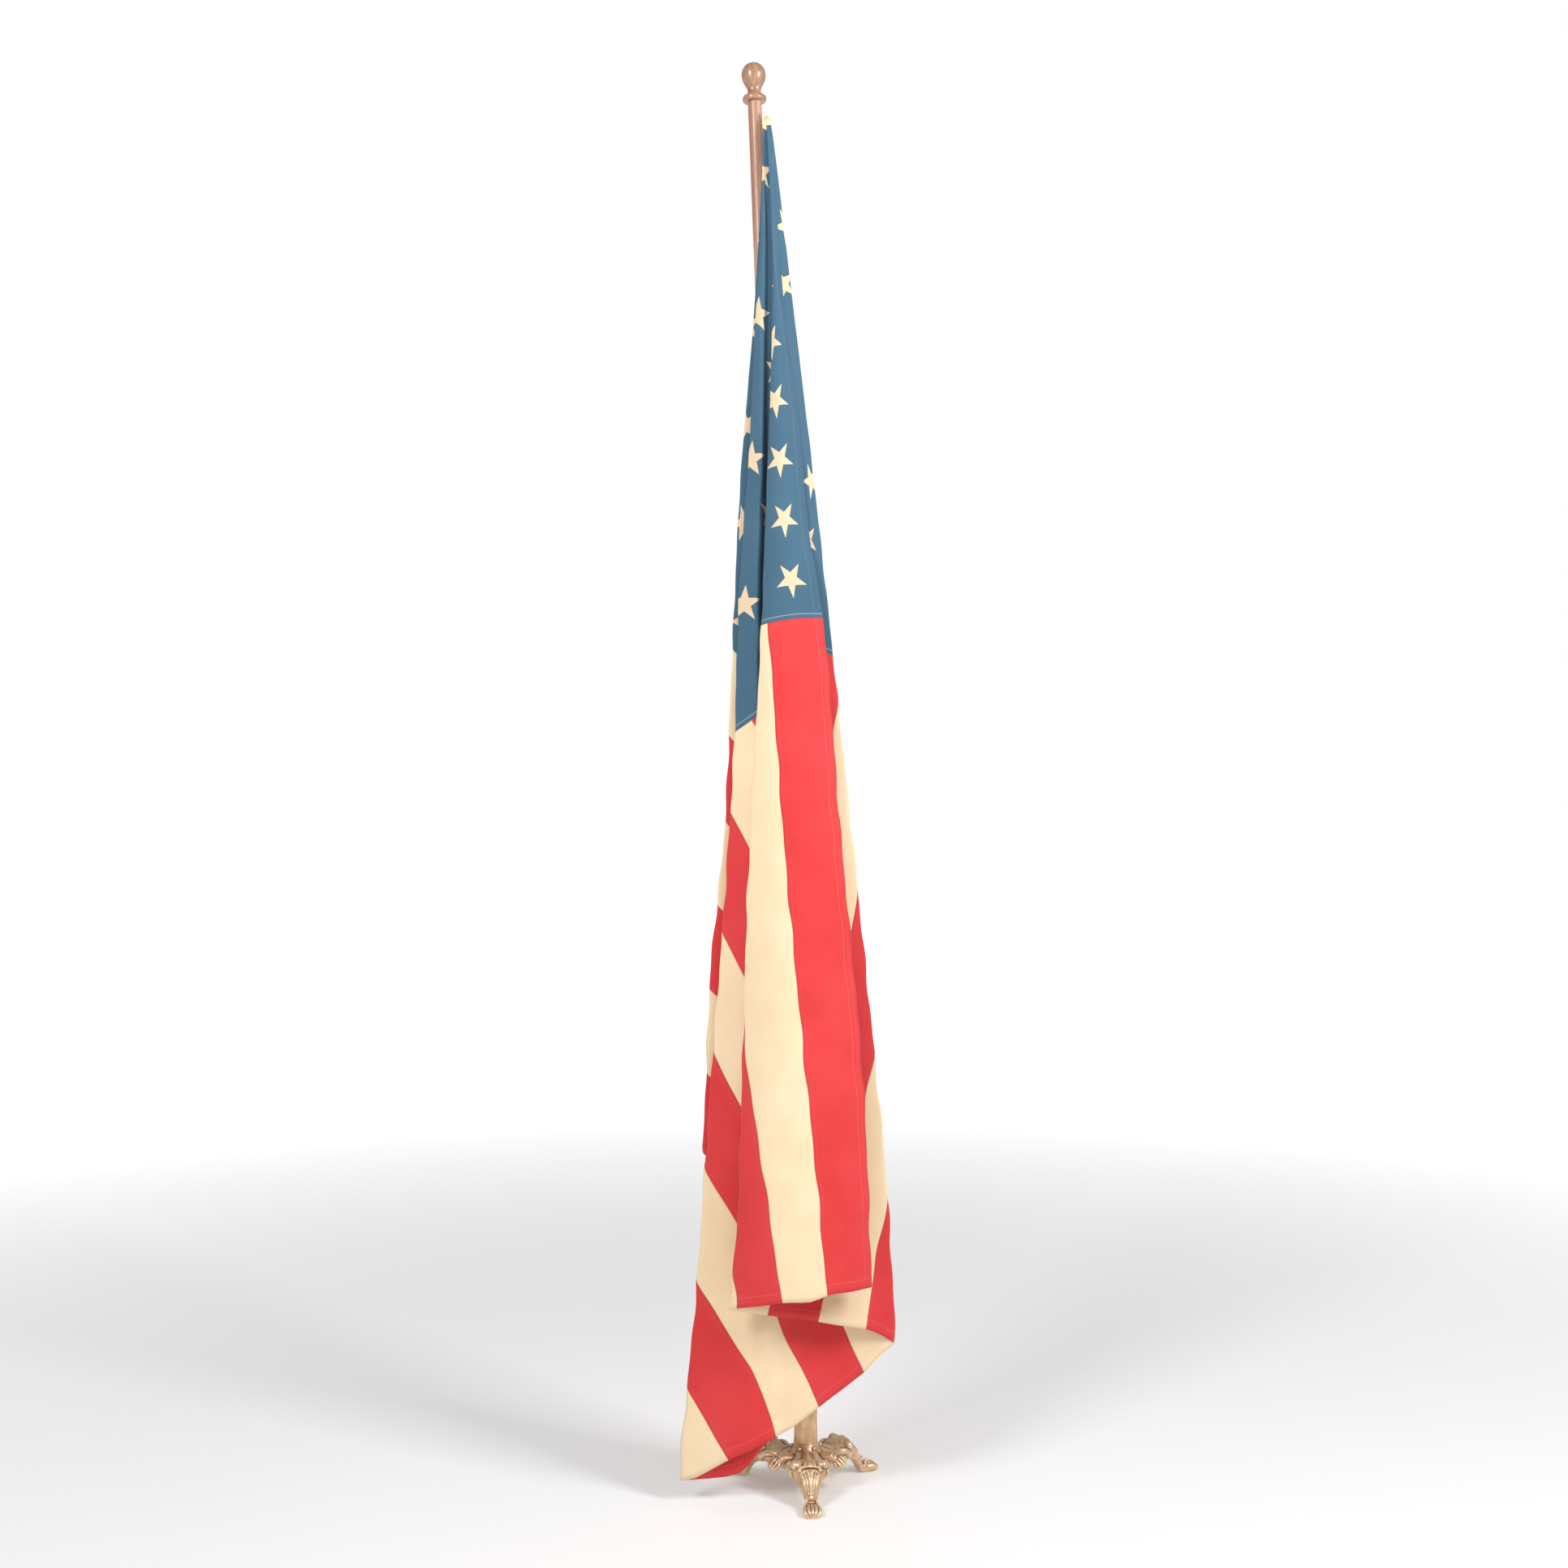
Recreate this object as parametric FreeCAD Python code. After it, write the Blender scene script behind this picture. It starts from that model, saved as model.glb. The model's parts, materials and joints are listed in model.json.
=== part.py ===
import FreeCAD, Part
import math
import os

os.makedirs("parts", exist_ok=True)
V = FreeCAD.Vector
UP = V(0, 0, 1)

# Sizes in millimetres, angles in degrees. The origin is the middle of the whole object's
# footprint on the floor, and the column stands a little off it because the flag hangs to one side.
column_at = V(36, 64, 0)

column_r = 21.5
column_bottom = 82
column_top = 220
column_floor = 12
column_bead_r = 1.2
socket_r = 15.6

leg_angles = {"leg_front": -86, "leg_right": 34, "leg_left": 154}
leg_back = 50
leg_screw_z = 48
hub_bolt_r = 5.9

pole_r = 12.7
pole_lean = 2.25
pole_crosses_z = 157.5
pole_end_z = 94.8
tip_length = 12
tip_pin_r = 4
joint_along = 1227
pole_length = 2463
ferrule_length = 43
finial_ball_r = 22.3
finial_disc_r = 22

screw_z = 209
screw_r = 3
pad_r = 4.6

flag_hoist = 1524
flag_fly = 2134
flag_corner = V(-73, -18.6, 2531)
heading_width = 32
heading_back_y = -16.5
heading_thick = 1.6
cloth_thick = 0.8
layer_gap = 1.6
grommet_r = 6.6
grommet_hole_r = 3.6


def revolve(points, spline_from=None, spline_to=None):
    """A solid of revolution about Z from (radius, height) points, with one smooth stretch."""
    corners = [V(r, 0, z) for r, z in points]
    edges = []
    i = 0
    while i < len(corners):
        if i == spline_from:
            curve = Part.BSplineCurve()
            curve.interpolate(corners[spline_from : spline_to + 1])
            edges.append(curve.toShape())
            i = spline_to
        else:
            edges.append(Part.makeLine(corners[i], corners[(i + 1) % len(corners)]))
            i += 1
    face = Part.Face(Part.Wire(edges))
    return face.revolve(V(0, 0, 0), UP, 360)


def tube(outer, inner, bottom, top):
    """An upright tube about Z."""
    solid = Part.makeCylinder(outer, top - bottom, V(0, 0, bottom))
    return solid.cut(Part.makeCylinder(inner, top - bottom + 2, V(0, 0, bottom - 1)))


def spline_face(upper, lower, place):
    """A face between two smooth edges that run the same way, each joined to the other at its ends."""
    top = Part.BSplineCurve()
    top.interpolate([place(*p) for p in upper])
    bottom = Part.BSplineCurve()
    bottom.interpolate([place(*p) for p in lower])
    ends = [
        Part.makeLine(place(*upper[0]), place(*lower[0])),
        Part.makeLine(place(*upper[-1]), place(*lower[-1])),
    ]
    return Part.Face(Part.Wire(Part.__sortEdges__([top.toShape(), bottom.toShape()] + ends)))


def turned(shape, degrees):
    """A copy turned about the column's axis."""
    copy = shape.copy()
    copy.rotate(V(0, 0, 0), UP, degrees)
    return copy


def leaned(shape):
    """A shape built along Z from the pole's lower end, set on the leaning pole's axis."""
    copy = shape.copy()
    foot_x = (pole_crosses_z - pole_end_z) * math.tan(math.radians(pole_lean))
    copy.Placement = FreeCAD.Placement(
        V(foot_x, 0, pole_end_z), FreeCAD.Rotation(V(0, 1, 0), -pole_lean)
    ).multiply(copy.Placement)
    return copy


def save(name, shape):
    placed = shape.copy()
    placed.translate(column_at)
    placed.exportStep("parts/" + name + ".step")


# ---- Base: a hub casting, three cast legs and the screws that hold them ----
def scroll_drop():
    """The curled drop that hangs from the hub between two legs."""
    outer = [(44, 61), (58, 64.5), (72, 61), (81, 51), (79, 40), (70, 35.5), (62, 38.5)]
    inner = [(44, 52), (54, 54.5), (60, 53), (63, 49), (64.5, 46), (63.5, 43), (62, 40.5)]
    face = spline_face(outer, inner, lambda r, z: V(r, -11, z))
    drop = face.extrude(V(0, 22, 0))
    knob = Part.makeSphere(8.5, V(70, 0, 44))
    return drop.fuse(knob)


def hub_casting():
    points = [
        (6.1, 82), (21.4, 82), (24, 75), (31, 68.5), (42, 64), (52, 60.5), (57, 57), (58, 50),
        (55, 41), (49, 38), (47.5, 40), (47, 54), (40, 58), (22, 60), (16, 56), (16, 44), (6.1, 44),
    ]
    hub = revolve(points, 1, 7)
    for angle in leg_angles.values():
        hub = hub.cut(turned(Part.makeBox(20, 72, 90, V(leg_back, -36, 0)), angle))
        hole = Part.makeCylinder(4.2, 20, V(leg_back - 12, 0, leg_screw_z), V(1, 0, 0))
        hub = hub.cut(turned(hole, angle))
        hub = hub.fuse(turned(scroll_drop(), angle + 60))
    return hub.removeSplitter()


def leg():
    """One leg along +X: a curved bracket with a scrolled knee, a thin ankle and a ribbed paw."""
    top = [(leg_back, 62), (62, 69), (74, 74), (84, 73), (92, 66), (101, 57), (112, 47), (118, 33),
           (125, 20), (134, 18), (146, 17.5), (156, 13), (160.5, 5), (160, 0)]
    bottom = [(leg_back, 36), (66, 36), (84, 34), (99, 29), (109, 20), (116, 9), (120, 0)]
    profile = Part.BSplineCurve()
    profile.interpolate([V(r, -40, z) for r, z in top])
    under = Part.BSplineCurve()
    under.interpolate([V(r, -40, z) for r, z in bottom])
    sole = Part.makeLine(V(160, -40, 0), V(120, -40, 0))
    back = Part.makeLine(V(leg_back, -40, 36), V(leg_back, -40, 62))
    edges = Part.__sortEdges__([profile.toShape(), sole, under.toShape(), back])
    side = Part.Face(Part.Wire(edges)).extrude(V(0, 80, 0))
    half_widths = [(leg_back, 29), (62, 34), (78, 35.5), (90, 27), (104, 20), (118, 14), (128, 11.5),
                   (136, 16), (147, 18.3), (156, 15.5), (161, 9)]
    left = Part.BSplineCurve()
    left.interpolate([V(r, w, -1) for r, w in half_widths])
    right = Part.BSplineCurve()
    right.interpolate([V(r, -w, -1) for r, w in half_widths])
    ends = [Part.makeLine(V(leg_back, -29, -1), V(leg_back, 29, -1)),
            Part.makeLine(V(161, -9, -1), V(161, 9, -1))]
    outline = Part.Wire(Part.__sortEdges__([left.toShape(), right.toShape()] + ends))
    casting = side.common(Part.Face(outline).extrude(V(0, 0, 90)))
    casting = casting.fuse(Part.makeCylinder(8, 48, V(79, -24, 66), V(0, 1, 0)))
    casting = casting.fuse(Part.makeSphere(5, V(121, 0, 34)))
    for across in (-12, -4, 4, 12):
        groove = Part.makeCylinder(1.6, 24, V(151 - abs(across) * 0.15, across, 19), V(1, 0, -0.62))
        casting = casting.cut(groove)
    casting = casting.cut(Part.makeCylinder(4, 24, V(leg_back - 1, 0, leg_screw_z), V(1, 0, 0)))
    return casting.removeSplitter()


def hexagon_head(radius, thick, at, along):
    corners = [V(radius * math.cos(math.radians(60 * i)), radius * math.sin(math.radians(60 * i)), 0)
               for i in range(7)]
    head = Part.Face(Part.makePolygon(corners)).extrude(V(0, 0, thick))
    head.Placement = FreeCAD.Placement(at, FreeCAD.Rotation(UP, along))
    return head


def leg_screws():
    """Three screws, their heads inside the hub, each running out into a leg."""
    screws = []
    for angle in leg_angles.values():
        shank = Part.makeCylinder(3.9, 25, V(leg_back - 5.5, 0, leg_screw_z), V(1, 0, 0))
        head = hexagon_head(6.5, 5, V(leg_back - 10.5, 0, leg_screw_z), V(1, 0, 0))
        screws.append(turned(shank.fuse(head), angle))
    return Part.makeCompound(screws)


save("hub_casting", hub_casting())
for leg_name, leg_angle in leg_angles.items():
    save(leg_name, turned(leg(), leg_angle))
save("leg_screws", leg_screws())
save("hub_bolt", Part.makeCylinder(hub_bolt_r, 50, V(0, 0, 41)).fuse(hexagon_head(10, 8, V(0, 0, 33), UP)))
save("hub_washer", tube(14, 6.2, 41.1, 43.9))


# ---- Column, its collar and the screw that can pinch the pole ----
def column():
    body = Part.makeCylinder(column_r, column_top - column_bottom, V(0, 0, column_bottom))
    bead = Part.makeTorus(column_r - 0.4, column_bead_r, V(0, 0, column_bottom + column_bead_r))
    body = body.fuse(bead)
    body = body.cut(Part.makeCylinder(socket_r, 200, V(0, 0, column_bottom + column_floor)))
    body = body.cut(Part.makeCylinder(hub_bolt_r + 0.1, 20, V(0, 0, column_bottom - 1)))
    return body.cut(Part.makeCylinder(pad_r + 0.4, 20, V(0, 10, screw_z), V(0, 1, 0)))


def column_collar():
    ring = tube(25.5, column_r + 0.1, 198, 219)
    boss = Part.makeCylinder(8, 9, V(0, 23.4, screw_z), V(0, 1, 0))
    hole = Part.makeCylinder(screw_r + 0.05, 20, V(0, 15, screw_z), V(0, 1, 0))
    return ring.fuse(boss).cut(hole).cut(Part.makeCylinder(column_r + 0.1, 40, V(0, 0, 190)))


def thumbscrew():
    """A screw with two flat wings, its tip in the pad's pocket."""
    shank = Part.makeCylinder(screw_r, 16.2, V(0, 18.8, screw_z), V(0, 1, 0))
    tip = Part.makeCylinder(1.2, 1.9, V(0, 16.95, screw_z), V(0, 1, 0))
    neck = Part.makeCylinder(5, 4, V(0, 36, screw_z), V(0, 1, 0))
    shoulder = Part.makeCylinder(screw_r, 2, V(0, 34.5, screw_z), V(0, 1, 0))
    wings = Part.makeBox(24, 9, 2.6, V(-12, 39, screw_z - 1.3))
    wings = wings.common(Part.makeCylinder(12, 10, V(0, 38, screw_z), V(0, 1, 0)))
    return shank.fuse(tip).fuse(shoulder).fuse(neck).fuse(wings)


def clamp_pad():
    pad = Part.makeCylinder(pad_r, 2.5, V(0, 16.2, screw_z), V(0, 1, 0))
    return pad.cut(Part.makeCylinder(1.25, 3, V(0, 16.9, screw_z), V(0, 1, 0)))


save("column", column())
save("column_collar", column_collar())
save("thumbscrew", thumbscrew())
save("clamp_pad", clamp_pad())


# ---- Pole: a tip that it turns on, two wooden lengths, a brass slip joint and the finial ----
joint_top = joint_along + ferrule_length
finial_foot = pole_length + 0.2

pole_tip = Part.makeCylinder(pole_r, tip_length).fuse(Part.makeCylinder(tip_pin_r, tip_length + 18))
lower_pole = Part.makeCylinder(pole_r, joint_along - tip_length - 2.5, V(0, 0, tip_length + 0.3))
lower_pole = lower_pole.cut(Part.makeCylinder(tip_pin_r + 0.05, 22, V(0, 0, tip_length - 1)))
spigot_core = Part.makeCylinder(11.2, ferrule_length, V(0, 0, joint_along + 0.5))
upper_pole = Part.makeCylinder(pole_r, pole_length - joint_top - 0.4, V(0, 0, joint_top + 0.4))
upper_pole = upper_pole.fuse(spigot_core)
upper_pole = upper_pole.cut(Part.makeCylinder(5, 40, V(0, 0, pole_length - 20)))

finial_profile = [
    (0, 0), (19, 0), (finial_disc_r - 0.6, 1.8), (finial_disc_r, 5), (finial_disc_r - 0.6, 8.2), (19.4, 10.4),
    (14.5, 12), (12.4, 17), (12.5, 23), (15.5, 29.5), (19.8, 38), (finial_ball_r, 50), (20.2, 59.5),
    (14.6, 67), (7, 71.2), (0, 72.4),
]
finial = revolve(finial_profile, 1, 15)
finial.translate(V(0, 0, finial_foot))
finial = finial.cut(Part.makeCylinder(5, 27, V(0, 0, finial_foot - 1)))

save("pole_tip", leaned(pole_tip))
save("lower_pole", leaned(lower_pole))
save("socket_ferrule", leaned(tube(14.2, pole_r + 0.05, joint_along - 37, joint_top)))
save("spigot_ferrule", leaned(tube(pole_r - 0.05, 11.25, joint_along + 0.5, joint_top)))
save("upper_pole", leaned(upper_pole))
save("finial", leaned(finial))
save("finial_dowel", leaned(Part.makeCylinder(4.95, 44, V(0, 0, pole_length - 19))))


# ---- Flag: cloth hung in folds from its upper hoist corner, its heading, eyelets and hook ----
# Each fold runs down from that corner: its angle from the top edge in the flat cloth, its sideways
# slope near the top and at the hem, its forward slope, its layer from the back, and the share of its
# flat length that it hangs down to. A fold with two sides is a crease, where the cloth turns back.
creases = [
    (0.0, 0.112, 0.0957, -0.065, 9, 1.0, False),
    (3.2, 0.075, 0.058, -0.090, 9, 1.0, False),
    (6.4, 0.045, 0.010, -0.086, 9, 1.0, False),
    (9.5, 0.020, -0.030, -0.060, 8, 1.0, True),
    (20.5, 0.150, 0.104, -0.030, 7, 0.99, True),
    (33.2, -0.055, -0.064, -0.022, 6, 0.983, True),
    (35.54, 0.010, 0.002, -0.0205, 6, 0.924, False),
    (43.0, 0.115, 0.100, -0.019, 5, 0.98, True),
    (53.0, -0.072, -0.066, -0.016, 4, 0.99, True),
    (62.8, 0.105, 0.090, -0.0135, 3, 1.0, True),
    (72.6, -0.040, -0.045, -0.011, 2, 1.0, True),
    (82.4, 0.095, 0.080, -0.0075, 1, 1.0, True),
    (88.8, 0.000, 0.020, 0.0, 0, 1.0, False),
]
cloth_starts = 80
cloth_levels = [0, 0.2, 0.45, 0.72, 1]


def crease_points(share):
    """The cloth's middle line across all its folds, at one share of the way down each fold."""
    points = []
    for angle, slope_top, slope_hem, forward, layer, hang, doubled in creases:
        turn = math.radians(angle)
        flat_length = min(flag_fly / max(math.cos(turn), 0.01), flag_hoist / max(math.sin(turn), 0.01))
        reach = cloth_starts + share * (flat_length * hang - cloth_starts)
        slope = slope_top + (slope_hem - slope_top) * reach / (flat_length * hang)
        x = slope * reach
        y = forward * reach - layer * layer_gap
        z = -math.sqrt(reach * reach - x * x - y * y)
        if doubled:
            points.append(flag_corner + V(x, y - 0.8, z))
            points.append(flag_corner + V(x, y + 0.8, z))
        else:
            points.append(flag_corner + V(x, y, z))
    return points


def skins(points):
    """The two faces of the cloth, as lines half a thickness either side of its middle line."""
    half = cloth_thick / 2
    sides = ([], [])
    for i, p in enumerate(points):
        before = V(p.x - points[i - 1].x, p.y - points[i - 1].y, 0) if i else None
        after = V(points[i + 1].x - p.x, points[i + 1].y - p.y, 0) if i + 1 < len(points) else None
        first = (before or after).normalize()
        second = (after or before).normalize()
        normal_a = V(-first.y, first.x, 0)
        normal_b = V(-second.y, second.x, 0)
        miter = (normal_a + normal_b).normalize()
        offset = miter * (half / max(miter.dot(normal_a), 0.4))
        sides[0].append(p + offset)
        sides[1].append(p - offset)
    return sides


def triangle_pair(a, b, c, d):
    return [Part.Face(Part.makePolygon([a, b, c, a])), Part.Face(Part.makePolygon([a, c, d, a]))]


def flag_cloth():
    rows = [skins(crease_points(share)) for share in cloth_levels]
    faces = []
    for upper, lower in zip(rows, rows[1:]):
        for side in (0, 1):
            for i in range(len(upper[side]) - 1):
                faces += triangle_pair(upper[side][i], upper[side][i + 1], lower[side][i + 1], lower[side][i])
        for i in (0, -1):
            faces += triangle_pair(upper[0][i], upper[1][i], lower[1][i], lower[0][i])
    for row in (rows[0], rows[-1]):
        for i in range(len(row[0]) - 1):
            faces += triangle_pair(row[0][i], row[0][i + 1], row[1][i + 1], row[1][i])
    shell = Part.makeShell(faces)
    shell.sewShape()
    cloth = Part.makeSolid(shell)
    if cloth.Volume < 0:
        cloth.reverse()
    return cloth


def gathered_top():
    """The cloth bunched together between its corner and the start of the open folds."""
    low = flag_corner.z - cloth_starts + 4
    rings = []
    for z, left, right, front in ((low, -79, -60, -33), (low + 45, -78, -62, -26)):
        corners = [V(left, front, z), V(right, front, z), V(right, -19, z), V(left, -19, z)]
        rings.append(Part.makePolygon(corners + corners[:1]))
    return Part.makeLoft(rings, True, True)


heading_left = -79
heading_front_y = heading_back_y - heading_thick
heading_top = flag_corner.z + 2
eyelets = {
    "grommet_top": (heading_left + 7.5, heading_top - 22),
    "grommet_bottom": (heading_left + heading_width / 2, heading_top - flag_hoist + 22),
}


def flag_heading():
    """The canvas strip along the hoist, drawn in narrower where it is gathered at its upper corner."""
    right_edge = [(0, 14), (50, 19), (127, 28), (165, heading_width), (flag_hoist, heading_width)]
    outline = [V(heading_left, heading_front_y, heading_top - down) for down in (flag_hoist, 0)]
    outline += [V(heading_left + wide, heading_front_y, heading_top - down) for down, wide in right_edge]
    strip = Part.Face(Part.makePolygon(outline + outline[:1])).extrude(V(0, heading_thick, 0))
    for x, z in eyelets.values():
        strip = strip.cut(Part.makeCylinder(grommet_hole_r + 1.2, 10, V(x, -22, z), V(0, 1, 0)))
    return strip


def grommet(x, z):
    """A rolled eyelet through the heading, with a flange on each face."""
    start = heading_front_y - 0.9
    thick = heading_thick + 1.8
    barrel = Part.makeCylinder(grommet_hole_r + 1.1, thick, V(x, start, z), V(0, 1, 0))
    front = Part.makeCylinder(grommet_r, 0.85, V(x, start, z), V(0, 1, 0))
    back = Part.makeCylinder(grommet_r, 0.85, V(x, heading_back_y + 0.05, z), V(0, 1, 0))
    hole = Part.makeCylinder(grommet_hole_r, 20, V(x, -28, z), V(0, 1, 0))
    return barrel.fuse(front).fuse(back).cut(hole)


def flag_hook():
    """A bent wire hook screwed into the pole, through the upper eyelet, its end turned up."""
    x, z = eyelets["grommet_top"]
    wire_r = 1.1
    z = z + grommet_hole_r - wire_r - 0.1
    path = [V(-88, -8, z), V(x, -8, z), V(x, -20.6, z), V(x, -20.6, z + 8)]
    hook = Part.makeSphere(wire_r, path[-1])
    for start, end in zip(path, path[1:]):
        hook = hook.fuse(Part.makeCylinder(wire_r, (end - start).Length, start, end - start))
        hook = hook.fuse(Part.makeSphere(wire_r, start))
    return hook


hook = flag_hook()
save("flag_cloth", Part.makeCompound([flag_cloth(), gathered_top()]))
save("flag_heading", flag_heading())
for eyelet_name, eyelet_at in eyelets.items():
    save(eyelet_name, grommet(*eyelet_at))
save("flag_hook", hook.cut(leaned(upper_pole)))
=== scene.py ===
import json
import math

import bpy
import numpy as np
from mathutils import Matrix, Vector


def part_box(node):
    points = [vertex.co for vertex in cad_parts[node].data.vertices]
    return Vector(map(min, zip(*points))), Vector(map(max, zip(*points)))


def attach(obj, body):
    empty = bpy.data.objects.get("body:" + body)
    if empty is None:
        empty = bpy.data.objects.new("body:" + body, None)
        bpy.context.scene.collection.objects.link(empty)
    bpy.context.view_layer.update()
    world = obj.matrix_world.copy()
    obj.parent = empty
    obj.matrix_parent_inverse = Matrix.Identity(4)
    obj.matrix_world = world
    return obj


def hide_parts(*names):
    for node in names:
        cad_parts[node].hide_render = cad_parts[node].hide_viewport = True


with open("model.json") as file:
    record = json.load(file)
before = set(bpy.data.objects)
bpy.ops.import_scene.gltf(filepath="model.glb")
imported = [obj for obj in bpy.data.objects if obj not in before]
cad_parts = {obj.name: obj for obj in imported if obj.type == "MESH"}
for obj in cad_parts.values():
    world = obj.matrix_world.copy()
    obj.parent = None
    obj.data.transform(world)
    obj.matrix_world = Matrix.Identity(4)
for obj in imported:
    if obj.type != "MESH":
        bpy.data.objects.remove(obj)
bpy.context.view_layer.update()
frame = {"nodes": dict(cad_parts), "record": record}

nodes = frame["nodes"]

# Everything is in metres. The column's axis comes from the column and its collar.
COLLAR_RADIUS = 0.0255
column_low, column_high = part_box("column")
COLUMN_X = (column_low.x + column_high.x) / 2
COLUMN_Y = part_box("column_collar")[0].y + COLLAR_RADIUS
# The pole leans this many degrees to the left of upright.
POLE_LEAN = 2.25

# The flag's hoist corner is just inside the top of its heading.
heading_low, heading_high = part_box("flag_heading")
CORNER = np.array([heading_low.x + 0.006, heading_low.y - 0.0005, heading_high.z - 0.002])


# ---- Camera and light ----
AMBIENT = 0.40
LENS_HEIGHT = 1.245
VIEW_DISTANCE = 3.3


def add_camera():
    data = bpy.data.cameras.new("view")
    data.lens = 41.0
    data.sensor_width = 36.0
    data.shift_y = 0.0176
    camera = bpy.data.objects.new("view", data)
    camera.location = (COLUMN_X - 0.040, COLUMN_Y - VIEW_DISTANCE, LENS_HEIGHT)
    camera.rotation_euler = (math.pi / 2, 0, 0)
    bpy.context.scene.collection.objects.link(camera)
    bpy.context.scene.camera = camera


def add_light(name, at, size, power, target):
    data = bpy.data.lights.new(name, "AREA")
    data.shape = "RECTANGLE"
    data.size, data.size_y = size
    data.energy = power
    lamp = bpy.data.objects.new(name, data)
    lamp.location = at
    aim = Vector(target) - Vector(at)
    lamp.rotation_euler = aim.to_track_quat("-Z", "Y").to_euler()
    bpy.context.scene.collection.objects.link(lamp)


def add_world():
    """Even light from all round, with a plain white background."""
    world = bpy.data.worlds.new("studio")
    bpy.context.scene.world = world
    world.use_nodes = True
    tree = world.node_tree
    background = tree.nodes["Background"]
    background.inputs["Color"].default_value = (1.0, 1.0, 1.0, 1)
    seen = tree.nodes.new("ShaderNodeMapRange")
    seen.inputs["To Min"].default_value = AMBIENT
    seen.inputs["To Max"].default_value = 1.0
    tree.links.new(tree.nodes.new("ShaderNodeLightPath").outputs["Is Camera Ray"], seen.inputs["Value"])
    tree.links.new(seen.outputs[0], background.inputs["Strength"])
    bpy.context.scene.view_settings.view_transform = "Standard"


class Shader:
    """A material with one Principled shader, and short calls that add nodes to it."""

    def __init__(self, name, **plain):
        self.material = bpy.data.materials.new(name)
        self.material.use_nodes = True
        self.tree = self.material.node_tree
        self.bsdf = self.tree.nodes["Principled BSDF"]
        for socket, value in plain.items():
            self.bsdf.inputs[socket.replace("_", " ")].default_value = value

    def put(self, socket, value):
        if isinstance(value, bpy.types.NodeSocket):
            self.tree.links.new(value, socket)
        elif isinstance(value, tuple) and len(value) == 3 and socket.type == "RGBA":
            socket.default_value = (*value, 1)
        else:
            socket.default_value = value

    def node(self, kind, output=0, **inputs):
        made = self.tree.nodes.new("ShaderNode" + kind)
        for name, value in inputs.items():
            self.put(made.inputs[name.replace("_", " ")], value)
        return made.outputs[output]

    def math(self, operation, *values, clamp=False):
        made = self.tree.nodes.new("ShaderNodeMath")
        made.operation = operation
        made.use_clamp = clamp
        for i, value in enumerate(values):
            self.put(made.inputs[i], value)
        return made.outputs[0]

    def mix(self, share, a, b):
        made = self.tree.nodes.new("ShaderNodeMix")
        made.data_type = "RGBA"
        self.put(made.inputs[0], share)
        self.put(made.inputs[6], a)
        self.put(made.inputs[7], b)
        return made.outputs[2]

    def smooth(self, value, low, high):
        made = self.tree.nodes.new("ShaderNodeMapRange")
        made.interpolation_type = "SMOOTHSTEP"
        self.put(made.inputs["Value"], value)
        self.put(made.inputs["From Min"], low)
        self.put(made.inputs["From Max"], high)
        return made.outputs[0]

    def mapped(self, vector, scale=(1, 1, 1), rotation=(0, 0, 0)):
        return self.node("Mapping", Vector=vector, Scale=scale, Rotation=rotation)

    def noise(self, vector, scale, detail=3.0, roughness=0.5):
        return self.node("TexNoise", Vector=vector, Scale=scale, Detail=detail, Roughness=roughness)

    def bump(self, height, strength, distance):
        self.put(self.bsdf.inputs["Normal"],
                 self.node("Bump", Height=height, Strength=strength, Distance=distance))

    def colour(self, value):
        self.put(self.bsdf.inputs["Base Color"], value)

    def roughness(self, value):
        self.put(self.bsdf.inputs["Roughness"], value)


# ---- Materials ----
# The flag's flat size and pattern, with u along the fly and v down the hoist.
FLY, HOIST = 2.134, 1.524
STRIPE = 0.1172
CANTON_FLY = 0.958
STAR_FIRST = (0.102, 0.058)
STAR_STEP = (0.112, 0.141)
STAR_LAST = (7, 5)
STAR_R = 0.0350
CANTON_DROP = 7 * STRIPE
HEADING_BAND = 0.028
HEM_STITCHES = 0.0165
SEAM_STITCHES = 0.0075
STITCH_HALF = 0.0009


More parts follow.
